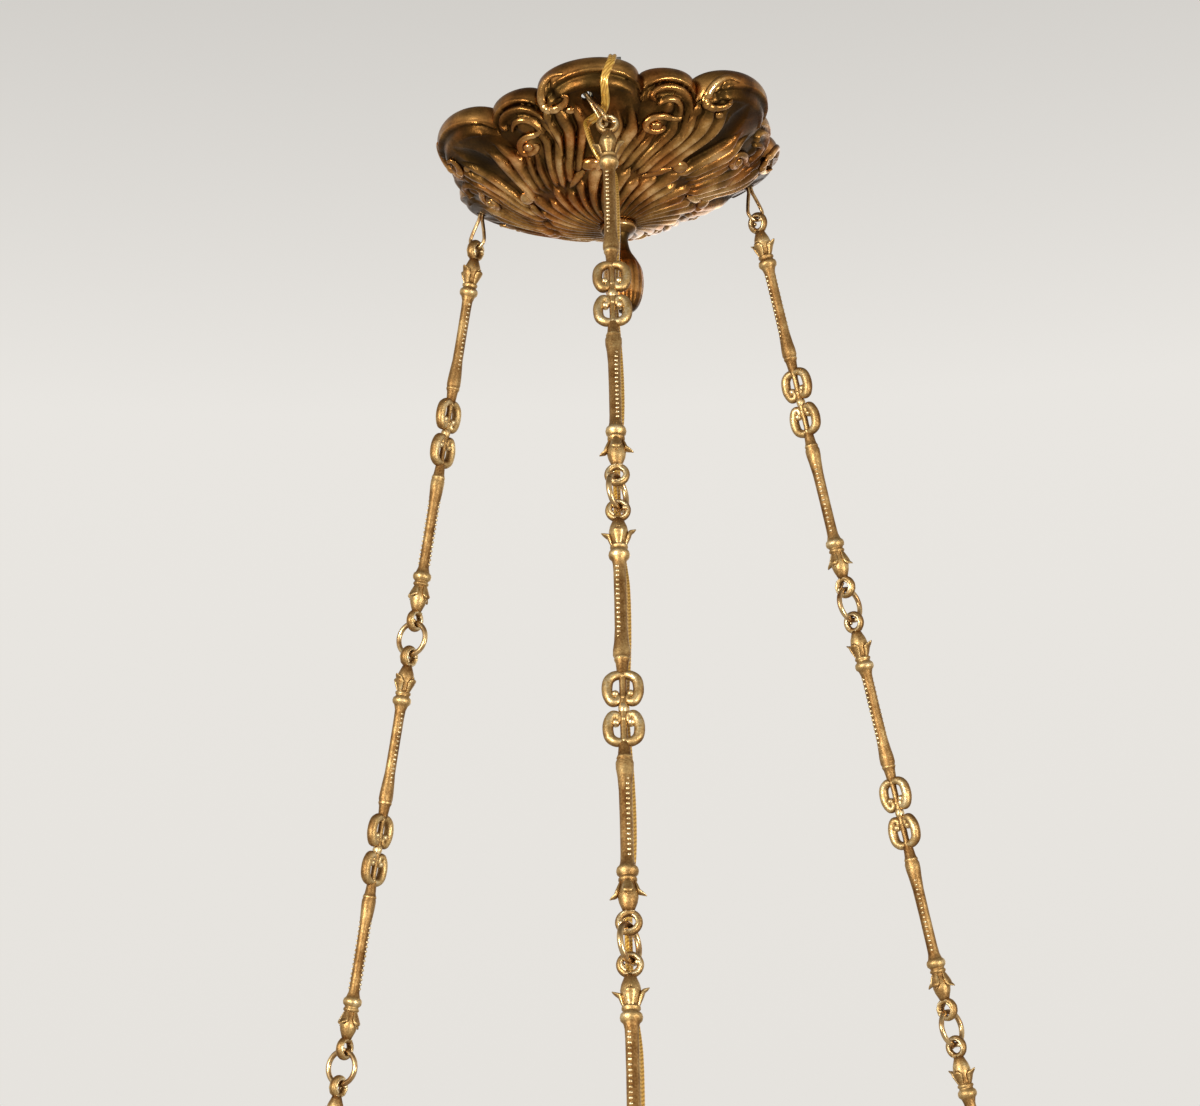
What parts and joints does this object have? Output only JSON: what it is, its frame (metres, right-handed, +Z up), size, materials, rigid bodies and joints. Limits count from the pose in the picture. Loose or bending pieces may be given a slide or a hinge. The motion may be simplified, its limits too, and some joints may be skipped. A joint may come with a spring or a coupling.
{
  "type": "chandelier canopy and chains",
  "caption": "Upper part of a chandelier: ceiling bar and hook, lobed scrolled bronze canopy with a finial, long cast link chains spreading downward on rings, and a flat gold flex.",
  "frame": {"origin": "middle of the ceiling bar's top face, where it meets the ceiling", "axes": "+Z up, -Y towards the near chain, +X to the right as seen from the near chain"},
  "size_m": [0.4957, 0.4325, 0.9181],
  "materials": {
    "gilt_bronze": "gilt and lacquered casting, dark in its recesses, glossy on the relief",
    "cast_brass": "aged cast brass, pitted, half dull",
    "brass_wire": "drawn brass wire, aged, satin",
    "steel": "plain zinc plated steel, dull",
    "gold_flex": "clear gold tinted plastic over copper strands",
    "terminal_plastic": "plain moulded plastic"
  },
  "bodies": {
    "ceiling_fixing": {"ceiling_bar": "steel", "ceiling_hook": "steel", "ceiling_terminal_block": "terminal_plastic", "ceiling_terminal_screw_a": "steel", "ceiling_terminal_screw_b": "steel", "ceiling_block_screw": "steel", "flex_ceiling": "gold_flex"},
    "canopy_body": {"canopy": "gilt_bronze", "stem": "steel", "stem_washer": "steel", "stem_nut": "steel", "finial": "gilt_bronze", "flex_rim": "gold_flex"},
    "near_eye": {"near_wire_eye": "brass_wire"},
    "near_link_1": {"near_link_1": "cast_brass", "flex_link_1": "gold_flex"},
    "near_ring_1": {"near_ring_1": "brass_wire", "flex_ring_1": "gold_flex"},
    "near_link_2": {"near_link_2": "cast_brass", "flex_link_2": "gold_flex"},
    "near_ring_2": {"near_ring_2": "brass_wire", "flex_ring_2": "gold_flex"},
    "near_link_3": {"near_link_3": "cast_brass", "flex_link_3": "gold_flex", "lamp_terminal_block": "terminal_plastic", "lamp_terminal_screw_a": "steel", "lamp_terminal_screw_b": "steel"},
    "near_ring_3": {"near_ring_3": "brass_wire"},
    "left_eye": {"left_wire_eye": "brass_wire"},
    "left_link_1": {"left_link_1": "cast_brass"},
    "left_ring_1": {"left_ring_1": "brass_wire"},
    "left_link_2": {"left_link_2": "cast_brass"},
    "left_ring_2": {"left_ring_2": "brass_wire"},
    "left_link_3": {"left_link_3": "cast_brass"},
    "left_ring_3": {"left_ring_3": "brass_wire"},
    "right_eye": {"right_wire_eye": "brass_wire"},
    "right_link_1": {"right_link_1": "cast_brass"},
    "right_ring_1": {"right_ring_1": "brass_wire"},
    "right_link_2": {"right_link_2": "cast_brass"},
    "right_ring_2": {"right_ring_2": "brass_wire"},
    "right_link_3": {"right_link_3": "cast_brass"},
    "right_ring_3": {"right_ring_3": "brass_wire"}
  },
  "joints": [
    {"name": "canopy_swing", "type": "hinge", "parent": "ceiling_fixing", "child": "canopy_body", "pos_m": [0, 0, -0.01868], "axis": [0, 1, 0], "range_deg": [-5.5, 14.5], "deforming": ["flex_ceiling"]},
    {"name": "near_eye_rock", "type": "hinge", "parent": "canopy_body", "child": "near_eye", "pos_m": [-0.00852, -0.10196, -0.05187], "axis": [0, 0.9781, -0.2079], "range_deg": [-6, 12], "deforming": ["flex_rim"]},
    {"name": "near_link_1_swing", "type": "hinge", "parent": "near_eye", "child": "near_link_1", "pos_m": [-0.00078, -0.10499, -0.06613], "axis": [-0.8829, -0.0976, -0.4592], "range_deg": [-30, 50], "deforming": ["flex_link_1"]},
    {"name": "near_ring_1_swing", "type": "hinge", "parent": "near_link_1", "child": "near_ring_1", "pos_m": [0.00274, -0.15865, -0.31861], "axis": [0.4384, 0.8792, -0.1869], "range_deg": [-45, 45], "deforming": ["flex_ring_1"]},
    {"name": "near_link_2_swing", "type": "hinge", "parent": "near_ring_1", "child": "near_link_2", "pos_m": [0.00274, -0.16079, -0.32868], "axis": [0.8988, -0.4288, 0.0911], "range_deg": [-60, 60], "deforming": ["flex_link_2"]},
    {"name": "near_ring_2_swing", "type": "hinge", "parent": "near_link_2", "child": "near_ring_2", "pos_m": [0.00274, -0.21554, -0.58623], "axis": [-0.4384, -0.8792, 0.1869], "range_deg": [-45, 45], "deforming": ["flex_ring_2"]},
    {"name": "near_link_3_swing", "type": "hinge", "parent": "near_ring_2", "child": "near_link_3", "pos_m": [0.00274, -0.21768, -0.5963], "axis": [-0.8988, 0.4288, -0.0911], "range_deg": [-60, 60], "deforming": ["flex_link_3"]},
    {"name": "near_ring_3_swing", "type": "hinge", "parent": "near_link_3", "child": "near_ring_3", "pos_m": [0.00274, -0.27242, -0.85385], "axis": [0.4384, 0.8792, -0.1869], "range_deg": [-45, 45]},
    {"name": "left_eye_rock", "type": "hinge", "parent": "canopy_body", "child": "left_eye", "pos_m": [-0.08661, 0.05125, -0.05665], "axis": [0.8471, -0.4891, -0.2079], "range_deg": [-12, 12]},
    {"name": "left_link_1_swing", "type": "hinge", "parent": "left_eye", "child": "left_link_1", "pos_m": [-0.08958, 0.05296, -0.07279], "axis": [0.5, 0.866, 0], "range_deg": [-30, 50]},
    {"name": "left_ring_1_swing", "type": "hinge", "parent": "left_link_1", "child": "left_ring_1", "pos_m": [-0.13622, 0.07989, -0.32613], "axis": [0.8471, -0.4891, -0.2079], "range_deg": [-45, 45]},
    {"name": "left_link_2_swing", "type": "hinge", "parent": "left_ring_1", "child": "left_link_2", "pos_m": [-0.13807, 0.08096, -0.3362], "axis": [-0.5, -0.866, 0], "range_deg": [-60, 60]},
    {"name": "left_ring_2_swing", "type": "hinge", "parent": "left_link_2", "child": "left_ring_2", "pos_m": [-0.18548, 0.10833, -0.59375], "axis": [-0.8471, 0.4891, 0.2079], "range_deg": [-45, 45]},
    {"name": "left_link_3_swing", "type": "hinge", "parent": "left_ring_2", "child": "left_link_3", "pos_m": [-0.18734, 0.1094, -0.60383], "axis": [0.5, 0.866, 0], "range_deg": [-60, 60]},
    {"name": "left_ring_3_swing", "type": "hinge", "parent": "left_link_3", "child": "left_ring_3", "pos_m": [-0.23474, 0.13677, -0.86137], "axis": [0.8471, -0.4891, -0.2079], "range_deg": [-45, 45]},
    {"name": "right_eye_rock", "type": "hinge", "parent": "canopy_body", "child": "right_eye", "pos_m": [0.09059, 0.05125, -0.04581], "axis": [-0.8471, -0.4891, -0.2079], "range_deg": [-12, 12]},
    {"name": "right_link_1_swing", "type": "hinge", "parent": "right_eye", "child": "right_link_1", "pos_m": [0.09356, 0.05296, -0.06195], "axis": [0.5, -0.866, 0], "range_deg": [-30, 50]},
    {"name": "right_ring_1_swing", "type": "hinge", "parent": "right_link_1", "child": "right_ring_1", "pos_m": [0.1402, 0.07989, -0.31529], "axis": [-0.625, -0.7558, -0.1954], "range_deg": [-45, 45]},
    {"name": "right_link_2_swing", "type": "hinge", "parent": "right_ring_1", "child": "right_link_2", "pos_m": [0.14205, 0.08096, -0.32537], "axis": [-0.7596, 0.6465, -0.0711], "range_deg": [-60, 60]},
    {"name": "right_ring_2_swing", "type": "hinge", "parent": "right_link_2", "child": "right_ring_2", "pos_m": [0.18946, 0.10833, -0.58291], "axis": [0.625, 0.7558, 0.1954], "range_deg": [-45, 45]},
    {"name": "right_link_3_swing", "type": "hinge", "parent": "right_ring_2", "child": "right_link_3", "pos_m": [0.19132, 0.1094, -0.59299], "axis": [0.7596, -0.6465, 0.0711], "range_deg": [-60, 60]},
    {"name": "right_ring_3_swing", "type": "hinge", "parent": "right_link_3", "child": "right_ring_3", "pos_m": [0.23873, 0.13677, -0.85053], "axis": [-0.625, -0.7558, -0.1954], "range_deg": [-45, 45]}
  ]
}
